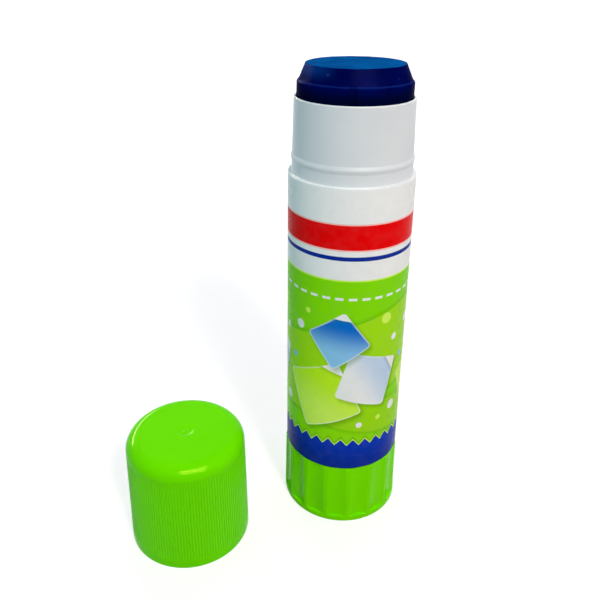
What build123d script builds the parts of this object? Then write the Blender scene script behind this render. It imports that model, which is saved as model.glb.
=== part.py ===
from build123d import *
import math
import os

os.makedirs("parts", exist_ok=True)

# Glue stick standing on its twist knob, with its cap taken off and stood beside it.
# Lengths are in millimetres. The origin is the centre of the knob's base, +Z is up,
# and the cap stands towards -X. Heights that start with a piece's name are measured
# in the shared frame, all others from the piece that carries them.

# Knob, a fluted cup that closes the barrel's foot
knob_h = 17.0
knob_proud = 0.22
knob_draft = 0.18
knob_foot_round = 0.2
knob_lip_round = 0.25
knob_base_t = 1.8
flute_count = 16
flute_turn_deg = 5.75
flute_w = 4.5
flute_deep = 0.5
flute_foot = 1.5

# Spigot of the knob, which snaps into the barrel's foot
spigot_h = 8.5
spigot_wall = 1.5
spigot_gap = 0.08
spigot_lead = 0.5
snap_up = 5.0
snap_h = 0.35
snap_half = 0.7
snap_gap = 0.12
seam = 0.3

# Socket of the knob and the foot of the lead screw that is pressed into it
key_flats = 7.0
boss_wall = 2.1
boss_h = 6.0
collar_in = 0.4
collar_t = 1.2

# Lead screw, with one left-hand flight
screw_r = 3.2
flight_h = 1.3
screw_lead = 6.4
screw_len = 86.0
screw_tip = 0.8
shank_in = 0.4
shank_len = 11.0
shank_cone = 1.2
flight_crest_w = 1.2
flight_embed = 0.2
flight_end = 1.4
flank_share = 0.35

# Fit of the carrier's nut on the screw
screw_gap = 0.1
nut_crest_w = 1.0
nut_crest_gap = 0.2
flank_gap = 0.12
nut_end = 0.2

# Barrel
body_r = 14.8
body_len = 74.5
shoulder_w = 0.8
shoulder_round_share = 0.2
root_round_share = 0.25
neck_len = 17.1
neck_draft = 0.43
rim_wall = 0.42
rim_round = 0.16
bead_up = 3.6
bead_h = 0.3
bead_half = 0.9
bead_round = 1.0

# Ribs in the bore that keep the carrier and the glue from turning
rib_count = 4
rib_turn_deg = 61.7
rib_w = 1.2
rib_h = 0.5
rib_drop = 3.0
rib_embed = 0.2
rib_gap = 0.15

# Printed sleeve let into the barrel
label_t = 0.12
label_foot_lip = 0.1
label_top_lip = 0.9

# Carrier, the piston that holds the foot of the glue
carrier_gap = 0.1
carrier_h = 9.0
carrier_wall = 1.0
carrier_web_t = 1.4
carrier_web_up = 3.0
hub_wall = 1.5
hub_h = 12.0
claw_count = 4
claw_t = 1.3
claw_clear = 2.45
claw_h = 7.0
claw_hole_share = 13 / 48

# Glue
glue_gap = 0.2
glue_show = 7.2
glue_cone_h = 3.5
glue_cone_in = 1.45
glue_edge_in = 0.38
glue_edge_h = 0.4
glue_tip_round = 0.3
glue_solid_tip = 10.8
glue_bore_gap = 0.5

# Travel of the carrier
carrier_down = 9.0
foot_clear = 0.6

# Cap
cap_h = 29.2
cap_wall = 0.95
cap_draft = 0.45
cap_round = 3.1
cap_foot_round = 0.12
cap_top_t = 1.4
cap_in_round = 2.6
cap_fit = 0.12
cap_apart = 12.53
cap_snap_gap = 0.1
cap_gate_r = 1.7
cap_gate_deep = 0.25
cap_nub_r = 0.55

# A cut runs past the face it opens by this much
over = 1.0

# Radii and places that follow from the sizes above
neck_foot_r = body_r - shoulder_w
neck_rim_r = neck_foot_r - neck_draft
bore_r = neck_rim_r - rim_wall
knob_top_r = body_r + knob_proud
knob_foot_r = knob_top_r + knob_draft
boss_r = key_flats / 2 + boss_wall
collar_r = boss_r - collar_in
screw_core_r = screw_r - flight_h
shank_r = screw_r - shank_in
glue_r = bore_r - glue_gap
glue_cone_r = glue_r - glue_edge_in
glue_tip_r = glue_cone_r - glue_cone_in
cap_foot_r = neck_foot_r + cap_fit + cap_wall
cap_top_r = cap_foot_r - cap_draft
barrel_foot_z = knob_h + seam
shoulder_z = barrel_foot_z + body_len
rim_z = shoulder_z + neck_len
spigot_r = bore_r - spigot_gap
spigot_top_z = knob_h + spigot_h
snap_z = knob_h + snap_up
bead_z = shoulder_z + bead_up
label_r = body_r - label_t
label_foot_z = barrel_foot_z + label_foot_lip
label_top_z = shoulder_z - label_top_lip
boss_top_z = knob_base_t + boss_h
screw_foot_z = boss_top_z + collar_t
screw_top_z = screw_foot_z + screw_len
carrier_z = spigot_top_z + foot_clear + carrier_down
carrier_r = bore_r - carrier_gap
cup_r = carrier_r - carrier_wall
claw_out = cup_r - claw_clear
web_top_z = carrier_z + carrier_web_up + carrier_web_t
hub_in_r = screw_r + screw_gap
nut_crest_r = screw_core_r + nut_crest_gap
hub_r = hub_in_r + hub_wall
claw_hole_r = claw_hole_share * (claw_out - hub_r)
glue_tip_z = rim_z + glue_show
glue_cone_z = glue_tip_z - glue_cone_h
cap_x = -(knob_foot_r + cap_foot_r + cap_apart)


def turned(points, rounds=()):
    """Solid of revolution about Z from (radius, height) points, corners rounded."""
    flat = make_face(Polyline(*points, close=True))
    for spot, size in rounds:
        corner = flat.vertices().sort_by_distance(Vector(*spot))[0]
        flat = fillet(corner, size)
    return revolve(Plane.XZ * flat, Axis.Z)


def ring(outer, inner, low, high):
    """Plain ring between two radii and two heights."""
    return turned([(inner, low), (outer, low), (outer, high), (inner, high)])


def rod(radius, low, high):
    """Plain round rod on the Z axis."""
    return Pos(0, 0, low) * Cylinder(radius, high - low, align=(Align.CENTER, Align.CENTER, Align.MIN))


def bar(inner, outer, width, low, high, turn):
    """Radial bar from one radius to another, turned about Z."""
    block = Box(outer - inner, width, high - low, align=(Align.MIN, Align.CENTER, Align.MIN))
    return Rot(0, 0, turn) * Pos(inner, 0, low) * block


def neck_r(up):
    """Radius of the tapered neck at a height above the shoulder."""
    return neck_foot_r - (neck_foot_r - neck_rim_r) * up / neck_len


def flight(root_r, crest_r, crest_w, low, high, turn):
    """Left-hand helical flight, wider at its root, along Z between two heights."""
    path_r = min(root_r, crest_r)
    root_w = crest_w + 2 * flank_share * abs(crest_r - root_r)
    section = make_face(
        Polyline(
            (root_r, -root_w / 2),
            (crest_r, -crest_w / 2),
            (crest_r, crest_w / 2),
            (root_r, root_w / 2),
            close=True,
        )
    )
    path = Helix(screw_lead, high - low, path_r, lefthand=True)
    return Rot(0, 0, turn) * Pos(0, 0, low) * sweep(Plane.XZ * section, path=path, is_frenet=True)


# Knob: stepped cup, its spigot and bead, the screw's socket, then the flutes
knob_spigot_in = spigot_r - spigot_wall
knob = turned(
    [
        (0, 0),
        (knob_foot_r, 0),
        (knob_top_r, knob_h),
        (spigot_r, knob_h),
        (spigot_r, snap_z - snap_half),
        (spigot_r + snap_h, snap_z),
        (spigot_r, snap_z + snap_half),
        (spigot_r, spigot_top_z - spigot_lead),
        (spigot_r - spigot_lead, spigot_top_z),
        (knob_spigot_in, spigot_top_z),
        (knob_spigot_in, knob_base_t),
        (0, knob_base_t),
    ],
    [((knob_foot_r, 0), knob_foot_round), ((knob_top_r, knob_h), knob_lip_round)],
)
knob += rod(boss_r, knob_base_t, boss_top_z)
socket = extrude(RegularPolygon(key_flats / 2, 6, major_radius=False), boss_h + over)
knob -= Pos(0, 0, knob_base_t) * socket
flute_half_deg = math.degrees(math.asin(flute_w / 2 / knob_top_r))
flute_floor_r = knob_top_r - flute_deep
flute_chord_in = knob_top_r * math.cos(math.radians(flute_half_deg)) - flute_floor_r
flute_r = ((flute_w / 2) ** 2 + flute_chord_in**2) / (2 * flute_chord_in)
for k in range(flute_count):
    turn = flute_turn_deg + (k + 1 / 2) * 360 / flute_count
    cutter = rod(flute_r, flute_foot, knob_h + over)
    knob -= Rot(0, 0, turn) * Pos(flute_floor_r + flute_r, 0, 0) * cutter

# Lead screw: hexagonal foot in the socket, collar on the boss, plain shank, core
# and flight
screw = Pos(0, 0, knob_base_t) * extrude(RegularPolygon(key_flats / 2, 6, major_radius=False), boss_h)
screw += rod(collar_r, boss_top_z, screw_foot_z)
shank_top_z = screw_foot_z + shank_len
screw += turned(
    [
        (0, screw_foot_z),
        (shank_r, screw_foot_z),
        (shank_r, shank_top_z - shank_cone),
        (screw_core_r, shank_top_z),
        (screw_core_r, screw_top_z - screw_tip),
        (screw_core_r - screw_tip, screw_top_z),
        (0, screw_top_z),
    ]
)
flight_low_z = shank_top_z
flight_high_z = screw_top_z - flight_end
flight_root_r = screw_core_r - flight_embed
screw += flight(flight_root_r, screw_r, flight_crest_w, flight_low_z, flight_high_z, 0)

# Barrel: tube with a snap groove in its foot, a recess for the sleeve, a shoulder,
# and a tapered neck with the bead that holds the cap
groove_r = spigot_r + snap_h + snap_gap
bead_low = bead_up - bead_half
bead_high = bead_up + bead_half
barrel = turned(
    [
        (bore_r, barrel_foot_z),
        (body_r, barrel_foot_z),
        (body_r, label_foot_z),
        (label_r, label_foot_z),
        (label_r, label_top_z),
        (body_r, label_top_z),
        (body_r, shoulder_z),
        (neck_foot_r, shoulder_z),
        (neck_r(bead_low), shoulder_z + bead_low),
        (neck_r(bead_up) + bead_h, bead_z),
        (neck_r(bead_high), shoulder_z + bead_high),
        (neck_rim_r, rim_z),
        (bore_r, rim_z),
        (bore_r, snap_z + snap_half + snap_gap),
        (groove_r, snap_z),
        (bore_r, snap_z - snap_half - snap_gap),
    ],
    [
        ((body_r, shoulder_z), shoulder_w * shoulder_round_share),
        ((neck_foot_r, shoulder_z), shoulder_w * root_round_share),
        ((neck_r(bead_up) + bead_h, bead_z), bead_round),
        ((neck_rim_r, rim_z), rim_round),
    ],
)
rib_foot_z = spigot_top_z + foot_clear / 2
rib_top_z = rim_z - rib_drop
for k in range(rib_count):
    turn = rib_turn_deg + k * 360 / rib_count
    barrel += bar(bore_r - rib_h, bore_r + rib_embed, rib_w, rib_foot_z, rib_top_z, turn)

# Printed sleeve
label_sleeve = ring(body_r, label_r, label_foot_z, label_top_z)

# Carrier: skirt, web, nut hub and pierced claws, notched for the barrel's ribs
carrier = turned(
    [
        (hub_in_r, carrier_z),
        (hub_r, carrier_z),
        (hub_r, carrier_z + carrier_web_up),
        (cup_r, carrier_z + carrier_web_up),
        (cup_r, carrier_z),
        (carrier_r, carrier_z),
        (carrier_r, carrier_z + carrier_h),
        (cup_r, carrier_z + carrier_h),
        (cup_r, web_top_z),
        (hub_r, web_top_z),
        (hub_r, carrier_z + hub_h),
        (hub_in_r, carrier_z + hub_h),
    ]
)
nut_root_r = hub_in_r + flight_embed
nut_half_w = nut_crest_w / 2 + flank_share * (nut_root_r - nut_crest_r)
nut_low_z = carrier_z + nut_half_w + nut_end
nut_high_z = carrier_z + hub_h - nut_half_w - nut_end
mesh_up = (flight_crest_w + nut_crest_w) / 2 + flank_share * (screw_r - nut_crest_r) + flank_gap
nut_turn = 360 * (mesh_up - (nut_low_z - flight_low_z)) / screw_lead
carrier += flight(nut_root_r, nut_crest_r, nut_crest_w, nut_low_z, nut_high_z, nut_turn)
hub_mid_r = (hub_in_r + hub_r) / 2
claw_mid_r = (hub_r + claw_out) / 2
claw_low_z = web_top_z - carrier_web_t / 2
for k in range(claw_count):
    turn = rib_turn_deg + (k + 1 / 2) * 360 / claw_count
    claw = bar(hub_mid_r, claw_out, claw_t, claw_low_z, web_top_z + claw_h, turn)
    pin = Rot(90, 0, 0) * Cylinder(claw_hole_r, claw_t + over)
    claw -= Rot(0, 0, turn) * Pos(claw_mid_r, 0, web_top_z + claw_h / 2) * pin
    carrier += claw
notch_in_r = bore_r - rib_h - rib_gap
notch_w = rib_w + 2 * rib_gap
for k in range(rib_count):
    turn = rib_turn_deg + k * 360 / rib_count
    low = carrier_z - over
    carrier -= bar(notch_in_r, bore_r + over, notch_w, low, carrier_z + carrier_h + over, turn)

# Glue: cast in the carrier's cup and round its claws, bored for the screw
glue_bore_r = screw_r + glue_bore_gap
glue_bore_z = glue_tip_z - glue_solid_tip
skirt_top_z = carrier_z + carrier_h
glue = turned(
    [
        (0, web_top_z),
        (cup_r, web_top_z),
        (cup_r, skirt_top_z),
        (glue_r, skirt_top_z),
        (glue_r, glue_cone_z - glue_edge_h),
        (glue_cone_r, glue_cone_z),
        (glue_tip_r, glue_tip_z),
        (0, glue_tip_z),
    ],
    [((glue_tip_r, glue_tip_z), glue_tip_round)],
)
glue -= rod(glue_bore_r, web_top_z - over, glue_bore_z)
for k in range(rib_count):
    turn = rib_turn_deg + k * 360 / rib_count
    glue -= bar(notch_in_r, bore_r + over, notch_w, web_top_z - over, glue_tip_z + over, turn)
glue -= carrier

# Cap: tapered shell with a rounded top, snap groove inside and gate mark on top
cap_floor_up = cap_h - cap_top_t


def cap_in_r(up):
    """Radius of the cap's inside at a height above its mouth."""
    return neck_r(up) + cap_fit


cap_groove_low = bead_up - bead_half - cap_snap_gap
cap_groove_high = bead_up + bead_half + cap_snap_gap
cap = turned(
    [
        (0, cap_h),
        (cap_top_r, cap_h),
        (cap_foot_r, 0),
        (cap_in_r(0), 0),
        (cap_in_r(cap_groove_low), cap_groove_low),
        (cap_in_r(bead_up) + bead_h, bead_up),
        (cap_in_r(cap_groove_high), cap_groove_high),
        (cap_in_r(cap_floor_up), cap_floor_up),
        (0, cap_floor_up),
    ],
    [
        ((cap_top_r, cap_h), cap_round),
        ((cap_foot_r, 0), cap_foot_round),
        ((cap_in_r(cap_floor_up), cap_floor_up), cap_in_round),
    ],
)
cap -= rod(cap_gate_r, cap_h - cap_gate_deep, cap_h + over)
cap += rod(cap_nub_r, cap_h - cap_top_t / 2, cap_h)
cap = Pos(cap_x, 0, 0) * cap

nodes = {
    "twist_knob": knob,
    "lead_screw": screw,
    "barrel": barrel,
    "label_sleeve": label_sleeve,
    "carrier": carrier,
    "glue_block": glue,
    "cap": cap,
}
for name, shape in nodes.items():
    export_step(shape, f"parts/{name}.step")

# Travel of the moving pieces, from the same sizes
carrier_up = screw_top_z - (carrier_z + hub_h) + hub_h * 2 / 3
turn_up_deg = carrier_up / screw_lead * 360
turn_down_deg = carrier_down / screw_lead * 360
print("carrier travel mm", round(-carrier_down, 3), round(carrier_up, 3))
print("knob turn deg", round(-turn_down_deg, 2), round(turn_up_deg, 2))
print("cap axis x", round(cap_x, 3), "rim z", round(rim_z, 3), "tip z", round(glue_tip_z, 3))
print("cap inside at floor", round(cap_in_r(cap_floor_up), 3), "floor", round(cap_floor_up, 3))
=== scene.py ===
import math

import bmesh
import bpy
from mathutils import Matrix, Vector, noise


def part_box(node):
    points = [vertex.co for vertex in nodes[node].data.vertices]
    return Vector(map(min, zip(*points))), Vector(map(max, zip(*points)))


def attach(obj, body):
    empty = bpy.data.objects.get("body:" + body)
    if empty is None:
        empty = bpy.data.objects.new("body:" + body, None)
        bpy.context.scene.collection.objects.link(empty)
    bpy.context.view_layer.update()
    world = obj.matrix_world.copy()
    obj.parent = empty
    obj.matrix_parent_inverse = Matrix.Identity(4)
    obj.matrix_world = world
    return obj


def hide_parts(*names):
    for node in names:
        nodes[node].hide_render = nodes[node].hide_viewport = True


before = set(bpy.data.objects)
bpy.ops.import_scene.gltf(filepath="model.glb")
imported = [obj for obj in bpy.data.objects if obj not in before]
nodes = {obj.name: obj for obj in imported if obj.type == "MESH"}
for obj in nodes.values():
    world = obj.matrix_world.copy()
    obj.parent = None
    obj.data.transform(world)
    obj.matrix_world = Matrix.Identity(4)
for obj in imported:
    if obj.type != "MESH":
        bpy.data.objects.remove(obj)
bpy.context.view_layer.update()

MM = 0.001
TAU = 2 * math.pi


def box_mm(node):
    """Lowest and highest corners of a CAD node at rest, in millimetres."""
    return [[round(c / MM, 2) for c in corner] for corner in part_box(node)]


# Sizes read from the frame, in millimetres
(_, _, BARREL_FOOT_Z), (BODY_R, _, RIM_Z) = box_mm("barrel")
(_, _, GLUE_FOOT_Z), (_, _, TIP_Z) = box_mm("glue_block")
(cap_left, _, _), (cap_right, _, CAP_H) = box_mm("cap")
CAP_X = (cap_left + cap_right) / 2

# Sizes repeated from the CAD model, in millimetres and degrees
SHOULDER_Z = 91.8
NECK_FOOT_R = 14.0
NECK_DRAFT = 0.43
BEAD_UP = 3.6
CAP_FOOT_R = 15.07
CAP_TOP_R = 14.62
CAP_FIT = 0.12
CAP_CEILING = 27.8
CAP_IN_ROUND = 2.6
CAP_FOOT_ROUND = 0.12
GLUE_R = 12.95
GLUE_BORE_R = 3.7
GLUE_BORE_Z = 105.3
CUP_R = 12.05
CUP_TOP_Z = 44.1
NOTCH_COUNT = 4
NOTCH_TURN_DEG = 61.7
NOTCH_HALF_W = 0.75
NOTCH_R = 12.5

# Direction from the stick's axis to the camera, in degrees
FRONT_DEG = -116.3


# Meshes
def mesh_object(name, verts, faces):
    """New smooth mesh object from points in millimetres."""
    me = bpy.data.meshes.new(name)
    me.from_pydata([tuple(c * MM for c in v) for v in verts], [], faces)
    me.validate()
    me.update()
    for p in me.polygons:
        p.use_smooth = True
    return link(bpy.data.objects.new(name, me))


def link(ob):
    """Puts an object in the scene."""
    bpy.context.scene.collection.objects.link(ob)
    return ob


def sharpen(ob, degrees):
    """Splits the shading at edges sharper than this angle."""
    me = ob.data
    bm = bmesh.new()
    bm.from_mesh(me)
    limit = math.radians(degrees)
    for e in bm.edges:
        e.smooth = len(e.link_faces) == 2 and e.calc_face_angle(0.0) < limit
    bm.to_mesh(me)
    bm.free()


def round_corner(before, corner, after, r, n):
    """Points of a fillet of radius r at a corner of a (radius, height) outline."""
    b, c, a = Vector(before), Vector(corner), Vector(after)
    u, v = (b - c).normalized(), (a - c).normalized()
    half = math.acos(max(-1, min(1, u.dot(v)))) / 2
    reach = r / math.tan(half)
    centre = c + (u + v).normalized() * (r / math.sin(half))
    start, end = c + u * reach - centre, c + v * reach - centre
    a0 = math.atan2(start.y, start.x)
    a1 = math.atan2(end.y, end.x)
    turn = (a1 - a0 + math.pi) % TAU - math.pi
    angles = [a0 + turn * i / n for i in range(n + 1)]
    return [(centre.x + r * math.cos(t), centre.y + r * math.sin(t)) for t in angles]


def lathe(name, profile, angles, bend, centre_x=0.0):
    """Surface turned about a vertical axis from (radius, height) points.

    Points on the axis become poles. bend(k, r, z, t) gives the radius and height
    of profile point k at angle t.
    """
    verts, rows = [], []
    for k, (r, z) in enumerate(profile):
        if r < 1e-6:
            rows.append([len(verts)])
            verts.append((centre_x, 0.0, z))
            continue
        rows.append(list(range(len(verts), len(verts) + len(angles))))
        for t in angles:
            bent_r, bent_z = bend(k, r, z, t)
            verts.append((centre_x + bent_r * math.cos(t), bent_r * math.sin(t), bent_z))
    faces = []
    n = len(angles)
    for this, after in zip(rows, rows[1:]):
        for i in range(n):
            j = (i + 1) % n
            if len(this) == 1:
                faces.append((this[0], after[i], after[j]))
            elif len(after) == 1:
                faces.append((this[j], this[i], after[0]))
            else:
                faces.append((this[j], this[i], after[i], after[j]))
    return mesh_object(name, verts, faces)


def even_angles(n):
    """Angles of n equal steps of a turn."""
    return [TAU * i / n for i in range(n)]


# Sums in node trees
class Net:
    """Small builder for node trees, with sums on sockets."""

    def __init__(self, tree):
        self.tree = tree

    def node(self, kind, **props):
        n = self.tree.nodes.new(kind)
        for k, v in props.items():
            setattr(n, k, v)
        return n

    def put(self, socket, value):
        """Sets a socket to a number or colour, or links another socket to it."""
        if isinstance(value, Number):
            value = value.socket
        if isinstance(value, (int, float)):
            socket.default_value = float(value)
        elif isinstance(value, (tuple, list)):
            socket.default_value = value
        else:
            self.tree.links.new(value, socket)

    def math(self, op, *args):
        n = self.node("ShaderNodeMath", operation=op)
        for socket, value in zip(n.inputs, args):
            self.put(socket, value)
        return Number(self, n.outputs[0])

    def mix(self, share, a, b):
        """Colour a, with a share of colour b."""
        n = self.node("ShaderNodeMix", data_type="RGBA")
        self.put(n.inputs[0], share)
        self.put(n.inputs[6], a)
        self.put(n.inputs[7], b)
        return n.outputs[2]

    def ramp(self, x, low, high, start=0.0, end=1.0, kind="LINEAR"):
        """Goes from start at low to end at high, and stays there beyond."""
        n = self.node("ShaderNodeMapRange", interpolation_type=kind)
        for socket, value in zip(n.inputs, (x, low, high, start, end)):
            self.put(socket, value)
        return Number(self, n.outputs[0])

    def step(self, x, low, high):
        """Smooth step from 0 at low to 1 at high."""
        return self.ramp(x, low, high, kind="SMOOTHSTEP")

    def noise(self, place, scale, detail):
        n = self.node("ShaderNodeTexNoise")
        self.put(n.inputs["Vector"], place)
        n.inputs["Scale"].default_value = scale
        n.inputs["Detail"].default_value = detail
        return Number(self, n.outputs["Fac"])

    def bump(self, height, depth):
        """Normal of a relief whose heights from 0 to 1 stand for a depth in millimetres."""
        n = self.node("ShaderNodeBump")
        n.inputs["Distance"].default_value = depth * MM
        self.put(n.inputs["Height"], height)
        return n.outputs[0]


class Number:
    """A number socket that takes part in sums."""

    def __init__(self, net, socket):
        self.net, self.socket = net, socket

    def __add__(self, other):
        return self.net.math("ADD", self, other)

    def __sub__(self, other):
        return self.net.math("SUBTRACT", self, other)

    def __mul__(self, other):
        return self.net.math("MULTIPLY", self, other)

    def __truediv__(self, other):
        return self.net.math("DIVIDE", self, other)

    def abs(self):
        return self.net.math("ABSOLUTE", self)

    def max(self, other):
        return self.net.math("MAXIMUM", self, other)

    def min(self, other):
        return self.net.math("MINIMUM", self, other)

    def mod(self, other):
        return self.net.math("FLOORED_MODULO", self, other)

    def sqrt(self):
        return self.net.math("SQRT", self)

    def sin(self):
        return self.net.math("SINE", self)


# Parts that the materials share
def material(name, **values):
    """Principled material with constants set on the shader, its net and its shader."""
    m = bpy.data.materials.new(name)
    m.use_nodes = True
    shader = m.node_tree.nodes["Principled BSDF"]
    for k, v in values.items():
        shader.inputs[k.replace("_", " ")].default_value = v
    return m, Net(m.node_tree), shader


def object_place(net):
    """Socket of the place in the piece's own frame, in metres."""
    return net.node("ShaderNodeTexCoord").outputs["Object"]


def millimetres(net, place):
    """The x, y and z of a place, in millimetres."""
    split = net.node("ShaderNodeSeparateXYZ")
    net.put(split.inputs[0], place)
    return [Number(net, split.outputs[i]) * (1 / MM) for i in range(3)]


def clouds(net, place, grain, levels, base, other):
    """Soft patches of another colour on a base.

    grain holds the scale and detail of the noise, levels where the patches start and
    where they are full.
    """
    return net.mix(net.step(net.noise(place, *grain), *levels), base, other)


def surface(net, shader, place, grain, rough, wave, shares, depth, matt=0.0, relief=0.0):
    """Fine grain in roughness and relief, and a slow wave in the relief.

    grain and wave hold the scale and detail of their noise, rough the lowest and
    highest roughness, shares the parts of wave and grain in the relief, whose depth
    is in millimetres. matt adds to the roughness and relief to the relief.
    """
    fine = net.noise(place, *grain)
    slow = net.noise(place, *wave)
    net.put(shader.inputs["Roughness"], net.ramp(fine, 0.3, 0.7, *rough) + matt)
    height = slow * shares[0] + fine * shares[1] + relief
    net.put(shader.inputs["Normal"], net.bump(height, depth))


def give(ob, mat):
    """Makes this the object's only material."""
    ob.data.materials.clear()
    ob.data.materials.append(mat)


def srgb(r, g, b):
    """Linear colour from 0 to 255 display values."""
    out = []
    for c in (r, g, b):
        c /= 255
        out.append(c / 12.92 if c <= 0.04045 else ((c + 0.055) / 1.055) ** 2.4)
    return (*out, 1.0)


# Plastics
def green_plastic(name, base, deep, specular):
    """Translucent polypropylene with faint flow marks, fine scratches and warm glints."""
    m, net, shader = material(
        name,
        Specular_IOR_Level=specular,
        Specular_Tint=(1.0, 0.8, 0.12, 1.0),
        Subsurface_Weight=0.1,
        Subsurface_Scale=0.002,
        Subsurface_Radius=(0.5, 1.0, 0.15),
    )
    place = object_place(net)
    flow = net.step(net.noise(place, scale=70.0, detail=3.0), 0.35, 0.7) * 0.35
    net.put(shader.inputs["Base Color"], net.mix(flow, base, deep))
    surface(
        net,
        shader,
        place,
        grain=(900.0, 2.0),
        rough=(0.1, 0.14),
        wave=(120.0, 1.0),
        shares=(0.7, 0.05),
        depth=0.08,
    )
    return m


def white_plastic(name, base, other, rough, by_height=None):
    """Satin white plastic. by_height(net, z, colour) changes its colour with height."""
    m, net, shader = material(
        name,
        Specular_IOR_Level=0.12,
        Subsurface_Weight=0.15,
        Subsurface_Scale=0.0015,
        Subsurface_Radius=(1.0, 0.95, 0.85),
    )
    place = object_place(net)
    colour = clouds(net, place, (60.0, 3.0), (0.3, 0.75), base, other)
    if by_height:
        colour = by_height(net, millimetres(net, place)[2], colour)
    net.put(shader.inputs["Base Color"], colour)
    surface(
        net,
        shader,
        place,
        grain=(1100.0, 2.0),
        rough=rough,
        wave=(150.0, 2.0),
        shares=(0.6, 0.08),
        depth=0.06,
    )
    return m


def barrel_colour(net, z, neck):
    """White film below the shoulder, a painted highlight on the top edge, painted shade in the
    knob seam.
    """
    film = net.step(z, SHOULDER_Z + 0.1, SHOULDER_Z - 0.3)
    # painted highlight: a whiter band along the barrel's top edge
    painted_rim_highlight = net.step(z, RIM_Z - 0.4, RIM_Z - 0.1) * 0.8
    # painted shade: dark green in the seam over the knob, where the gap lies in shadow
    seam = net.step(z, BARREL_FOOT_Z + 0.4, BARREL_FOOT_Z + 0.15)
    colour = net.mix(painted_rim_highlight, net.mix(film, neck, FILM_WHITE), srgb(252, 252, 252))
    return net.mix(seam, colour, srgb(24, 60, 30))


def barrel_plastic():
    """White of the barrel, slightly blue on the neck."""
    base, other = srgb(226, 228, 230), srgb(220, 223, 226)
    return white_plastic("barrel_white", base, other, (0.32, 0.42), barrel_colour)


def inner_plastic():
    """Plainer white of the pieces inside."""
    return white_plastic("inner_white", srgb(238, 238, 232), srgb(230, 230, 224), (0.35, 0.45))


FILM_WHITE = srgb(245, 244, 242)
cap_green = green_plastic("cap_green", srgb(110, 226, 0), srgb(104, 218, 0), 0.035)
knob_green = green_plastic("knob_green", srgb(124, 231, 0), srgb(114, 224, 0), 0.02)
inner_white = inner_plastic()
give(nodes["barrel"], barrel_plastic())
give(nodes["lead_screw"], inner_white)
give(nodes["carrier"], inner_white)
give(nodes["twist_knob"], knob_green)


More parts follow.
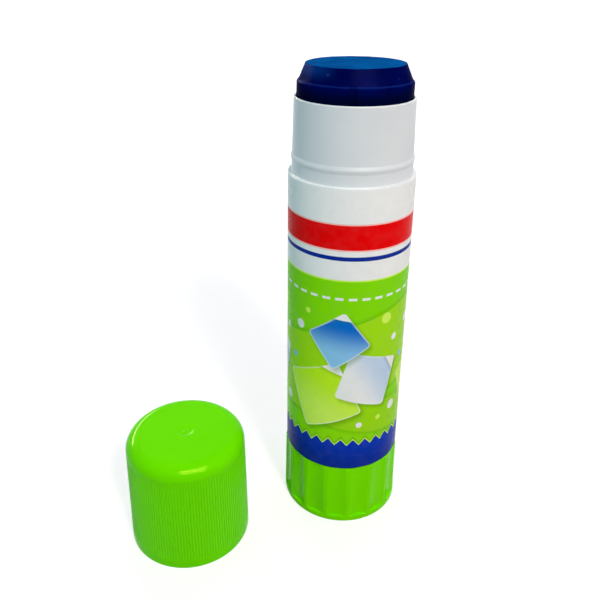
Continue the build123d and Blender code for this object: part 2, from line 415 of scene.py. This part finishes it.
# Label print
class Print:
    """Printed colour in layers on the barrel. u runs round it and z up it, in millimetres.

    edge is the softness of the print's edges, line the width of its light lines and
    pitch that of the dashes and the pinked edge.
    """

    edge, line, pitch = 0.07, 0.35, 3.1
    motif_count = 3
    white = FILM_WHITE
    leaf = srgb(44, 120, 0)
    lime, pale_lime = srgb(196, 244, 30), srgb(216, 250, 96)
    navy = srgb(0, 42, 150)
    sky = srgb(140, 200, 240)

    def __init__(self, net, place):
        self.net = net
        x, y, self.z = millimetres(net, place)
        turn = math.radians(FRONT_DEG)
        ahead = x * math.cos(turn) + y * math.sin(turn)
        aside = y * math.cos(turn) - x * math.sin(turn)
        self.u = net.math("ARCTAN2", aside, ahead) * BODY_R
        period = TAU * BODY_R / self.motif_count
        self.cell_u = (self.u + period * 0.5).mod(period) - period * 0.5
        self.colour = self.white

    def over(self, mask, paint):
        """Lays paint over what is printed so far."""
        self.colour = self.net.mix(mask, self.colour, paint)

    def inside(self, distance, soft=edge):
        """Mask of where a distance is below zero."""
        return self.net.step(distance, soft, -soft)

    def band(self, z, half):
        """Mask of a level band."""
        return self.inside((self.z - z).abs() - half)

    def above(self, z):
        """Mask of all above a height."""
        return self.net.step(self.z - z, -self.edge, self.edge)

    def zigzag(self, pitch):
        """Distance round the barrel to the middle of the nearest pitch."""
        return (self.u.mod(pitch) - pitch / 2).abs()

    def disc(self, u, z, r):
        """Mask of a disc in the repeating cell."""
        du, dz = self.cell_u - u, self.z - z
        return self.inside((du * du + dz * dz).sqrt() - r)

    def card(self, u, z, half, degrees, corner):
        """Turned and rounded square in the repeating cell.

        Returns the distance to its outline and the place on the line to its corner.
        """
        turn = math.radians(degrees)
        du, dz = self.cell_u - u, self.z - z
        along = du * math.cos(turn) + dz * math.sin(turn)
        across = dz * math.cos(turn) - du * math.sin(turn)
        p, q = along.abs() - (half - corner), across.abs() - (half - corner)
        out_p, out_q = p.max(0.0), q.max(0.0)
        distance = (out_p * out_p + out_q * out_q).sqrt() + p.max(q).min(0.0) - corner
        return distance, along + across

    def print_field(self):
        """Green field with two broad wavy bands of lime."""
        fade = self.net.step(self.z, 24.0, 68.0)
        self.colour = self.net.mix(fade, srgb(146, 226, 0), srgb(134, 225, 0))
        wave = (self.u / BODY_R).sin()
        for rise, at, half, strength in ((5.0, 47.0, 11.0, 0.5), (-3.0, 34.0, 4.5, 0.35)):
            distance = (self.z - wave * rise - at).abs() - half
            self.over(self.net.step(distance, 1.6, 0.0) * 0.22, self.leaf)
            self.over(self.inside(distance) * strength, self.lime)

    def print_dashes(self):
        """Dashed cutting line."""
        half_length, z, half_width = 0.95, 65.6, 0.32
        dash = self.inside(self.zigzag(self.pitch) - half_length)
        self.over(dash * self.band(z, half_width), self.white)

    def print_card(self, u, z, half, degrees, near, far):
        """Card with a shadow, a light edge and a turned-up corner."""
        shade = self.card(u + 0.6, z - 0.8, half, degrees, corner=1.2)[0]
        self.over(self.inside(shade, soft=1.1) * 0.5, self.leaf)
        distance, slant = self.card(u, z, half, degrees, corner=0.9)
        mask = self.inside(distance)
        self.over(mask, self.net.mix(self.net.step(slant, -half, half), near, far))
        self.over(mask * self.net.step(distance, -0.34, -0.22) * 0.55, self.white)
        fold = half * 1.45
        self.over(mask * self.net.step(slant, half * 1.2, fold) * 0.3, self.leaf)
        self.over(mask * self.net.step(slant, fold, fold + self.edge), self.white)

    def print_cards(self):
        """Lime, white and blue card, by place, half width, turn and colours."""
        self.print_card(-5.4, 38.4, 7.8, 24.0, self.pale_lime, self.lime)
        self.print_card(6.2, 43.4, 6.6, -16.0, self.white, srgb(196, 216, 240))
        self.print_card(-1.4, 54.4, 5.6, 36.0, self.sky, srgb(0, 110, 206))

    def print_confetti(self):
        """Small dots, by place, radius and colour."""
        for u, z, r, paint in (
            (-11.8, 56.5, 1.2, self.white),
            (-9.4, 61.0, 0.7, self.pale_lime),
            (10.4, 59.6, 1.4, self.pale_lime),
            (13.4, 53.6, 0.9, self.white),
            (-13.8, 47.2, 0.8, self.sky),
            (14.2, 33.6, 1.3, self.white),
            (4.4, 30.6, 0.8, self.white),
            (9.6, 31.8, 0.7, self.pale_lime),
        ):
            self.over(self.disc(u, z, r), paint)

    def print_foot(self):
        """Navy foot with a pinked edge, a light line along it and a shadow over it."""
        foot_z, slope = 24.4, 1.15
        teeth = self.z - foot_z - self.zigzag(self.pitch) * slope
        self.over(self.net.step(teeth - 0.5, 1.3, -0.6) * 0.45, self.leaf)
        self.over(self.inside(teeth - self.line), self.pale_lime)
        fade = self.net.step(self.z, 17.5, 27.0)
        self.over(self.inside(teeth), self.net.mix(fade, self.navy, srgb(0, 54, 184)))

    def print_top(self):
        """White top over a light line, with a red band in a pale edge and a navy line."""
        top_z, red_z, navy_z = 70.4, 80.6, 75.6
        red_half, navy_half = 2.9, 0.5
        self.over(self.above(top_z - self.line), self.pale_lime)
        self.over(self.above(top_z), self.white)
        self.over(self.band(red_z, red_half + self.line), srgb(255, 196, 190))
        self.over(self.band(red_z, red_half), srgb(240, 0, 2))
        self.over(self.band(navy_z, navy_half), self.navy)


def label_film():
    """Printed film with slight waves, ink mottle and a lap seam at the back."""
    m, net, shader = material("label_print", Specular_IOR_Level=0.025)
    place = object_place(net)
    label = Print(net, place)
    label.print_field()
    label.print_dashes()
    label.print_cards()
    label.print_confetti()
    label.print_foot()
    label.print_top()
    mottle = net.step(net.noise(place, scale=450.0, detail=3.0), 0.3, 0.8) * 0.05
    label.over(mottle, (0.25, 0.25, 0.25, 1.0))
    net.put(shader.inputs["Base Color"], label.colour)
    lap_edge = BODY_R * math.pi - 1.2
    surface(
        net,
        shader,
        place,
        grain=(700.0, 2.0),
        rough=(0.24, 0.34),
        wave=(90.0, 1.0),
        shares=(0.5, 0.03),
        depth=0.1,
        relief=net.step(label.u.abs() - lap_edge, -0.05, 0.05) * 0.6,
    )
    return m


give(nodes["label_sleeve"], label_film())


# Cap
def cap_in_r(up):
    """Radius of the cap's inside at a height above its mouth."""
    return NECK_FOOT_R - NECK_DRAFT * up / (RIM_Z - SHOULDER_Z) + CAP_FIT


def share(x):
    """The number, kept between 0 and 1."""
    return min(1.0, max(0.0, x))


def cap_outside(rib_low):
    """Outline from the gate mark in the middle of the top down to the mouth's edge."""
    top_round = 3.4
    gate_r = (0.0, 0.25, 0.5, 0.62, 1.2, 1.6, 1.95, 2.3)
    gate_deep = (0.02, 0.03, 0.12, 0.23, 0.25, 0.2, 0.04, 0.0)
    top_r = (4.0, 6.0, 8.0, 9.6, 10.6)
    rows = [25.5, 25.2, 24.9, 24.6, 24.3, 22.0, 19.0, 16.0, 13.0, 10.0, 7.0, 4.5]
    rows += [rib_low + up for up in (0.5, 0.38, 0.25, 0.12, 0.0, -0.3, -0.4, -1.1, -1.6)]
    middle, shoulder, foot = (0, CAP_H), (CAP_TOP_R, CAP_H), (CAP_FOOT_R, 0)
    outline = [(r, CAP_H - deep) for r, deep in zip(gate_r, gate_deep)]
    outline += [(r, CAP_H) for r in top_r]
    outline += round_corner(middle, shoulder, foot, top_round, 22)
    outline += [(CAP_FOOT_R + (CAP_TOP_R - CAP_FOOT_R) * z / CAP_H, z) for z in rows]
    outline += round_corner(shoulder, foot, (cap_in_r(0), 0), CAP_FOOT_ROUND, 6)
    return outline


def cap_inside():
    """Outline from the mouth up past the snap groove to the middle of the ceiling."""
    lead_in = 0.15
    groove = ((-0.85, 0.0), (-0.4, 0.2), (0.0, 0.3), (0.4, 0.2), (0.85, 0.0))
    outline = [(cap_in_r(0) + lead_in, 0.0), (cap_in_r(lead_in), lead_in)]
    outline += [(cap_in_r(BEAD_UP + up) + deep, BEAD_UP + up) for up, deep in groove]
    outline += [(cap_in_r(up), up) for up in (12.0, 20.0)]
    mouth, corner = (cap_in_r(0), 0), (cap_in_r(CAP_CEILING), CAP_CEILING)
    outline += round_corner(mouth, corner, (0, CAP_CEILING), CAP_IN_ROUND, 8)
    outline += [(6.0, CAP_CEILING), (0.0, CAP_CEILING)]
    return outline


def make_cap():
    """Cap with fine ribs round its side."""
    rib_count, points_per_rib = 134, 8
    rib_low, rib_high, rib_deep = 2.0, 26.2, 0.12
    fade_low, fade_high = 0.5, 1.6
    top_flat_r = 11.1
    outside = cap_outside(rib_low)

    def bend(k, r, z, t):
        if k >= len(outside) or r < top_flat_r:
            return r, z
        fade = share((z - rib_low) / fade_low) * share((rib_high - z) / fade_high)
        groove = (0.5 - 0.5 * math.cos(t * rib_count)) ** 1.6
        return r - rib_deep * fade * groove, z

    angles = even_angles(rib_count * points_per_rib)
    ob = lathe("cap_shell", outside + cap_inside(), angles, bend, CAP_X)
    sharpen(ob, 38)
    give(ob, cap_green)
    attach(ob, "cap")
    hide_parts("cap")


make_cap()

# Glue
FACE_Z = TIP_Z - 0.08
FACE_R = 11.05
CONE_FOOT_Z = 112.6
LEDGE_Z = 112.2


def direction(degrees):
    """Unit x and y at an angle from the camera's direction, seen from above."""
    turn = math.radians(FRONT_DEG + degrees)
    return math.cos(turn), math.sin(turn)


def glue_side(net, place, x, y, z, r):
    """Dark blue with painted shade on the column, a painted ledge highlight, a painted sheen
    and pits.
    """
    line_z, pit_r = 112.5, 11.7
    side = clouds(net, place, (160.0, 4.0), (0.3, 0.75), srgb(0, 4, 66), srgb(0, 10, 84))
    # painted shade: the column darker near the barrel's mouth
    dark = net.step(z, line_z, 109.6) * net.step(z, 97.0, 107.5)
    side = net.mix(dark, side, srgb(0, 5, 42))
    # painted highlight: a light line along the ledge
    line = net.step((z - line_z).abs(), 0.2, 0.05) * 0.3
    side = net.mix(line, side, srgb(30, 56, 150))
    # painted sheen: lighter blue on one side of the cone
    cos_turn, sin_turn = direction(-78.0)
    painted_sheen = net.step((x * cos_turn + y * sin_turn) / r, 0.45, 0.95)
    side = net.mix(painted_sheen * net.step(z, 112.8, 115.6) * 0.55, side, srgb(0, 66, 150))
    # small pits in the cone, by angle and height
    for degrees, up in ((-29.0, 114.7), (48.0, 113.6), (152.0, 114.3)):
        cos_turn, sin_turn = direction(degrees)
        dx, dy, dz = x - pit_r * cos_turn, y - pit_r * sin_turn, z - up
        away = (dx * dx + dy * dy + dz * dz).sqrt()
        side = net.mix(net.step(away, 0.5, 0.15) * 0.45, side, srgb(44, 60, 160))
    return side


def glue_material():
    """Waxy dark blue side and a matt face painted lighter blue, a painted reflection."""
    m, net, shader = material("glue_blue", Specular_IOR_Level=0.001)
    place = object_place(net)
    x, y, z = millimetres(net, place)
    r = (x * x + y * y).sqrt()
    face = net.step(z, 115.6, 115.85) * net.step(r, FACE_R, FACE_R - 0.25)
    # painted reflection: the face is painted a lighter blue than the side
    top = clouds(net, place, (160.0, 4.0), (0.3, 0.7), srgb(0, 71, 136), srgb(2, 88, 156))
    net.put(shader.inputs["Base Color"], net.mix(face, glue_side(net, place, x, y, z, r), top))
    surface(
        net,
        shader,
        place,
        grain=(1200.0, 3.0),
        rough=(0.3, 0.4),
        wave=(260.0, 3.0),
        shares=(0.8, 0.12),
        depth=0.15,
        matt=face * 0.45,
    )
    return m


def glue_outline():
    """Outline from the middle of the face, down the cone and the side, to the bore."""
    middle, tip = (0, FACE_Z), (FACE_R, FACE_Z)
    cone_foot, ledge, below = (12.5, CONE_FOOT_Z), (12.93, LEDGE_Z), (GLUE_R, 60)
    tip_round, ledge_round = 0.28, 0.3
    outline = [(r, FACE_Z) for r in (0.0, 3.0, 6.0, 8.5, 9.8, 10.4)]
    outline += round_corner(middle, tip, cone_foot, tip_round, 6)
    outline += [(11.3, 115.4), (11.6, 114.7), (11.86, 114.1), (12.1, 113.5), (12.3, 113.0)]
    outline += round_corner(tip, cone_foot, ledge, ledge_round, 4)
    outline += round_corner(cone_foot, ledge, below, ledge_round, 4)
    outline += [(GLUE_R, z) for z in (111.0, 109.5, 100.0, 80.0, 60.0, CUP_TOP_Z)]
    outline += [(CUP_R, CUP_TOP_Z), (CUP_R, GLUE_FOOT_Z), (GLUE_BORE_R, GLUE_FOOT_Z)]
    outline += [(GLUE_BORE_R, GLUE_BORE_Z), (0.0, GLUE_BORE_Z)]
    return outline


def make_glue():
    """Slightly uneven glue, notched for the ribs in the barrel's bore."""
    # half the notch's width and its edge's width, in radians
    notch_half, notch_edge = NOTCH_HALF_W / 12.9, 0.004
    notches = [math.radians(NOTCH_TURN_DEG + 360 / NOTCH_COUNT * k) for k in range(NOTCH_COUNT)]
    across = (-notch_half, -notch_half / 2, 0.0, notch_half / 2, notch_half)
    across += (-notch_half - notch_edge, notch_half + notch_edge)
    angles = set(even_angles(240))
    angles.update((notch + turn) % TAU for notch in notches for turn in across)
    uneven_z, uneven_r = 109, 9
    ledge_low, ledge_high = LEDGE_Z - 0.2, CONE_FOOT_Z + 0.2

    def bend(k, r, z, t):
        spot = Vector((math.cos(t) * r, math.sin(t) * r, z))
        if z > uneven_z and r > uneven_r:
            r += 0.05 * noise.noise(spot * 0.35)
        if ledge_low < z < ledge_high:
            z += 0.06 * noise.noise(spot * 0.9)
        if z > ledge_high:
            z += 0.05 * noise.noise(spot * 0.5)
        off = min(abs((t - notch + math.pi) % TAU - math.pi) for notch in notches)
        if off <= notch_half + 1e-6 and r > NOTCH_R:
            r = NOTCH_R
        return r, z

    ob = lathe("glue_body", glue_outline(), sorted(angles), bend)
    sharpen(ob, 40)
    give(ob, glue_material())
    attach(ob, "carriage")
    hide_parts("glue_block")


make_glue()


# Stage, lamps and camera
def seen_rays(net):
    """Socket that is 1 for camera, glossy and transmission rays."""
    path = net.node("ShaderNodeLightPath")
    rays = ("Is Camera Ray", "Is Glossy Ray", "Is Transmission Ray")
    camera, glossy, through = (Number(net, path.outputs[ray]) for ray in rays)
    return camera.max(glossy).max(through)


def make_floor():
    """Pale floor that glows where it is seen, less near the object, to keep its shadow."""
    reach = 60.0
    grey, glow_colour = (0.42, 0.42, 0.42, 1), (1.0, 0.96, 0.965, 1)
    near, far = 0.1, 0.6
    near_glow, far_glow = 0.69, 1.0
    me = bpy.data.meshes.new("floor")
    corners = [(-reach, -reach, 0), (reach, -reach, 0), (reach, reach, 0), (-reach, reach, 0)]
    me.from_pydata(corners, [], [(0, 1, 2, 3)])
    ob = link(bpy.data.objects.new("floor", me))
    m = bpy.data.materials.new("floor_pale")
    m.use_nodes = True
    m.node_tree.nodes.clear()
    net = Net(m.node_tree)
    away = net.node("ShaderNodeVectorMath", operation="DISTANCE")
    net.put(away.inputs[0], net.node("ShaderNodeNewGeometry").outputs["Position"])
    net.put(away.inputs[1], (CAP_X * MM * 0.4, 0.0, 0.0))
    level = net.ramp(away.outputs["Value"], near, far, near_glow, far_glow, "SMOOTHSTEP")
    diffuse = net.node("ShaderNodeBsdfDiffuse")
    net.put(diffuse.inputs["Color"], grey)
    glow = net.node("ShaderNodeEmission")
    net.put(glow.inputs["Color"], glow_colour)
    net.put(glow.inputs["Strength"], seen_rays(net) * level)
    both = net.node("ShaderNodeAddShader")
    net.put(both.inputs[0], diffuse.outputs[0])
    net.put(both.inputs[1], glow.outputs[0])
    net.put(net.node("ShaderNodeOutputMaterial").inputs["Surface"], both.outputs[0])
    give(ob, m)


def make_world():
    """White where it is seen, and a dim cool light on the object."""
    world = bpy.data.worlds.new("studio")
    bpy.context.scene.world = world
    world.use_nodes = True
    world.node_tree.nodes.clear()
    net = Net(world.node_tree)
    either = net.node("ShaderNodeMixShader")
    net.put(either.inputs[0], seen_rays(net))
    lit, seen = ((0.78, 0.94, 1.0, 1), 0.34), ((1, 1, 1, 1), 1.0)
    for socket, (colour, strength) in zip(either.inputs[1:], (lit, seen)):
        light = net.node("ShaderNodeBackground")
        net.put(light.inputs["Color"], colour)
        net.put(light.inputs["Strength"], strength)
        net.put(socket, light.outputs[0])
    net.put(net.node("ShaderNodeOutputWorld").inputs["Surface"], either.outputs[0])


def area_light(name, degrees, distance, height, size, power, colour, gloss=False):
    """Lamp at an angle from the camera's direction, in metres and watts.

    It is seen by diffuse rays or, as a soft box that gives the glints, by glossy rays.
    """
    target = Vector((-0.015, 0.0, 0.055))
    cos_turn, sin_turn = direction(degrees)
    place = Vector((distance * cos_turn, distance * sin_turn, height))
    data = bpy.data.lights.new(name, "AREA")
    data.shape = "RECTANGLE"
    data.size, data.size_y = size
    data.energy = power
    data.color = colour
    ob = link(bpy.data.objects.new(name, data))
    ob.location = place
    ob.visible_glossy = gloss
    ob.visible_diffuse = not gloss
    ob.rotation_mode = "QUATERNION"
    ob.rotation_quaternion = (target - place).to_track_quat("-Z", "Y")


def make_lights():
    """Lamps that shade the object, and two soft boxes for its glints."""
    area_light("key", 28, 0.50, 0.52, (0.09, 0.09), 2.8, (1.0, 0.935, 0.89))
    area_light("fill", -70, 0.6, 0.35, (0.4, 0.5), 0.75, (0.3, 0.84, 1.0))
    area_light("back", -150, 0.62, 0.2, (0.1, 0.3), 1.0, (1.0, 1.0, 1.0))
    area_light("top", 170, 0.28, 0.72, (0.3, 0.1), 1.0, (1.0, 1.0, 1.0))
    area_light("side", 95, 0.6, 0.4, (0.25, 0.4), 0.45, (1.0, 0.82, 0.76))
    area_light("box_front", 24, 0.5, 0.6, (0.5, 0.38), 48.0, (1.0, 0.95, 0.78), gloss=True)
    area_light("box_left", -133, 0.6, 0.28, (0.4, 0.06), 4.6, (1.0, 0.9, 0.45), gloss=True)


def make_camera():
    """Camera fitted to the photograph's edges: place, direction and offset of the lens axis."""
    frame_px = 600
    focal_px, centre_px = 648.87, (286.707, 241.583)
    sensor = 36
    pitch, roll, yaw = 0.396, 0.0016, -0.1032
    turn = math.radians(-26.3)
    back, height = 9.8554 * BODY_R, 9.0797 * BODY_R
    level = math.cos(pitch)
    ahead = Vector((math.sin(yaw) * level, math.cos(yaw) * level, -math.sin(pitch)))
    right = Vector((math.cos(yaw), -math.sin(yaw), 0))
    up = right.cross(ahead)
    right, up = (
        math.cos(roll) * right + math.sin(roll) * up,
        -math.sin(roll) * right + math.cos(roll) * up,
    )
    spin = Matrix.Rotation(turn, 3, "Z")
    axes = Matrix((spin @ right, spin @ up, -(spin @ ahead))).transposed()
    data = bpy.data.cameras.new("camera")
    data.sensor_width = sensor
    data.lens = focal_px / frame_px * sensor
    data.shift_x = (frame_px / 2 - centre_px[0]) / frame_px
    data.shift_y = (centre_px[1] - frame_px / 2) / frame_px
    data.clip_start, data.clip_end = 0.01, 200
    ob = link(bpy.data.objects.new("camera", data))
    ob.rotation_mode = "QUATERNION"
    ob.location = spin @ Vector((0, -back, height)) * MM
    ob.rotation_quaternion = axes.to_quaternion()
    bpy.context.scene.camera = ob


make_floor()
make_world()
make_lights()
make_camera()
bpy.context.scene.view_settings.view_transform = "Standard"
